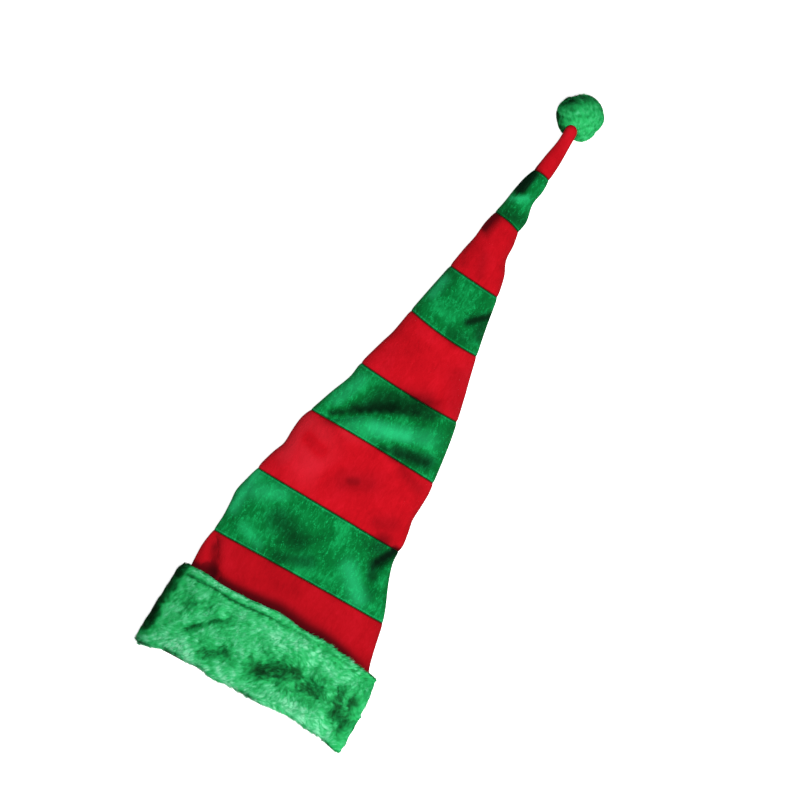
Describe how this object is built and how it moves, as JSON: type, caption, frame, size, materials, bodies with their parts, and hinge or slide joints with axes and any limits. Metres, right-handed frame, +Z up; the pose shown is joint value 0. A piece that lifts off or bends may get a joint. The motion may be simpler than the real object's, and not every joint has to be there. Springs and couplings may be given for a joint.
{
  "type": "elf hat",
  "caption": "Long striped elf hat of sewn red and green cloth rings, with a plush turned-up cuff and a plush pompom, lying on its side.",
  "frame": {"origin": "middle of the hat's box on the surface that it lies on", "axes": "+X from the mouth to the tip, +Y to the left side of the lying hat, +Z up"},
  "size_m": [0.8896, 0.3012, 0.0572],
  "materials": {
    "red_velour": "soft short-nap velour, matt with a faint sheen",
    "green_velour": "soft short-nap velour with a mottled, brushed nap",
    "green_plush": "brushed plush pile in small clumps"
  },
  "bodies": {
    "root": {"panel_1_red": "red_velour", "panel_2_green": "green_velour", "panel_3_red": "red_velour", "panel_4_green": "green_velour", "panel_5_red": "red_velour", "panel_6_green": "green_velour", "panel_7_red": "red_velour", "panel_8_green": "green_velour", "panel_9_red": "red_velour", "cuff": "green_plush", "pompom": "green_plush"}
  },
  "joints": []
}
